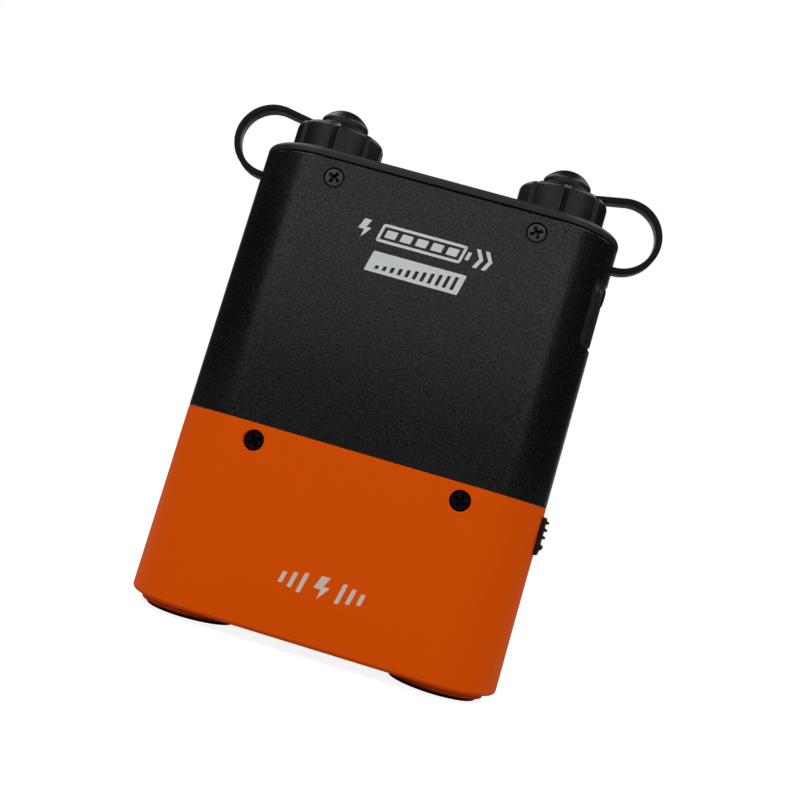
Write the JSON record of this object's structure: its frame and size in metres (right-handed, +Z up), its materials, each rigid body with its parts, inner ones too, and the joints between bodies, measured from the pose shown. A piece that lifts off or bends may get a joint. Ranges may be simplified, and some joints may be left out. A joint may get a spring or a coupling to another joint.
{
  "type": "flash battery pack",
  "caption": "Portable flash battery pack: black power unit with two capped output sockets, over a detachable orange battery with a side latch and round feet.",
  "frame": {"origin": "centre of the base, on the plane that the rubber feet stand on", "axes": "+Z up to the sockets, front towards -Y, +X towards the latch and the side panel"},
  "size_m": [0.1218, 0.037, 0.1439],
  "materials": {
    "orange_shell": "satin orange paint",
    "black_shell": "fine-grained matte black paint",
    "black_plastic": "matte moulded black",
    "cap_plastic": "smooth satin black",
    "latch_plastic": "satin black",
    "tether_rubber": "smooth black rubber",
    "foot_rubber": "matte black rubber",
    "button_rubber": "matte dark grey rubber",
    "dark_screw": "blackened steel",
    "spring_steel": "bright steel",
    "nickel": "nickel plate",
    "contact_brass": "gold-coloured plate",
    "circuit_board": "green lacquer",
    "chip_black": "moulded epoxy",
    "chip_white": "white plastic",
    "cell_pouch": "laminated foil",
    "foam": "closed-cell foam",
    "capacitor_sleeve": "shrink sleeve",
    "bare_aluminium": "machined",
    "ferrite": "pressed and sintered",
    "copper_wire": "enamelled copper",
    "lens_clear": "clear polycarbonate"
  },
  "bodies": {
    "battery": {"battery_case": "orange_shell", "foot_pads": "foot_rubber", "battery_lid": "black_plastic", "battery_screws": "dark_screw", "cell_front": "cell_pouch", "cell_middle": "cell_pouch", "cell_rear": "cell_pouch", "cell_foam": "foam", "cell_tabs": "nickel", "protection_board": "circuit_board", "protection_parts": "chip_black", "battery_socket_block": "black_plastic", "battery_contacts": "contact_brass", "charge_jack": "black_plastic", "charge_jack_pin": "contact_brass", "latch_spring": "spring_steel"},
    "latch": {"latch_slider": "latch_plastic"},
    "power_unit": {"upper_sleeve": "black_shell", "top_gasket": "foot_rubber", "top_cover": "black_shell", "upper_screws": "dark_screw", "dock_plate": "black_plastic", "dock_plug": "black_plastic", "dock_blades": "contact_brass", "main_board": "circuit_board", "board_screws": "spring_steel", "capacitors": "capacitor_sleeve", "power_transistors": "chip_black", "heat_sink": "bare_aluminium", "transformer_cores": "ferrite", "transformer_windings": "copper_wire", "board_parts": "chip_black", "side_panel": "black_plastic", "power_switch": "chip_black", "control_board": "circuit_board", "indicator_leds": "chip_white", "indicator_lenses": "lens_clear", "usb_shell": "nickel", "usb_tongue": "chip_white", "port_cover_pin": "spring_steel", "left_socket": "black_plastic", "left_socket_insert": "black_plastic", "left_socket_pins": "contact_brass", "left_tether_band": "tether_rubber", "right_socket": "black_plastic", "right_socket_insert": "black_plastic", "right_socket_pins": "contact_brass", "right_tether_band": "tether_rubber"},
    "power_button": {"power_button": "button_rubber"},
    "port_cover": {"port_cover": "button_rubber"},
    "left_collar": {"left_tether_ring": "tether_rubber"},
    "right_collar": {"right_tether_ring": "tether_rubber"},
    "left_cap": {"left_cap": "cap_plastic", "left_cap_hub": "cap_plastic", "left_cap_seal": "foot_rubber"},
    "right_cap": {"right_cap": "cap_plastic", "right_cap_hub": "cap_plastic", "right_cap_seal": "foot_rubber"}
  },
  "joints": [
    {"name": "unit_lift", "type": "slide", "parent": "battery", "child": "power_unit", "axis": [0, 0, 1], "range_m": [0, 0.06]},
    {"name": "latch_slide", "type": "slide", "parent": "battery", "child": "latch", "axis": [0, 0, -1], "range_m": [0, 0.003], "stiffness_N_per_m": 400, "springref_m": -0.002, "deforming": ["latch_spring"]},
    {"name": "power_press", "type": "slide", "parent": "power_unit", "child": "power_button", "axis": [-1, 0, 0], "range_m": [0, 0.0008], "stiffness_N_per_m": 800, "springref_m": -0.0005},
    {"name": "port_cover_swing", "type": "hinge", "parent": "power_unit", "child": "port_cover", "pos_m": [0.0471, 0.0078, 0.1033], "axis": [0, 0, 1], "range_deg": [0, 100]},
    {"name": "left_cap_lift", "type": "slide", "parent": "power_unit", "child": "left_collar", "axis": [0, 0, 1], "range_m": [0, 0.003], "deforming": ["left_tether_band"]},
    {"name": "left_cap_turn", "type": "hinge", "parent": "left_collar", "child": "left_cap", "pos_m": [-0.032, 0, 0.1366], "axis": [0, 0, 1], "range_deg": [0, 720]},
    {"name": "right_cap_lift", "type": "slide", "parent": "power_unit", "child": "right_collar", "axis": [0, 0, 1], "range_m": [0, 0.003], "deforming": ["right_tether_band"]},
    {"name": "right_cap_turn", "type": "hinge", "parent": "right_collar", "child": "right_cap", "pos_m": [0.032, 0, 0.1366], "axis": [0, 0, 1], "range_deg": [0, 720]}
  ],
  "couplings": [
    {"joint": "left_cap_lift", "follows": "left_cap_turn", "m_per_rad": 0.00023873},
    {"joint": "right_cap_lift", "follows": "right_cap_turn", "m_per_rad": 0.00023873}
  ]
}
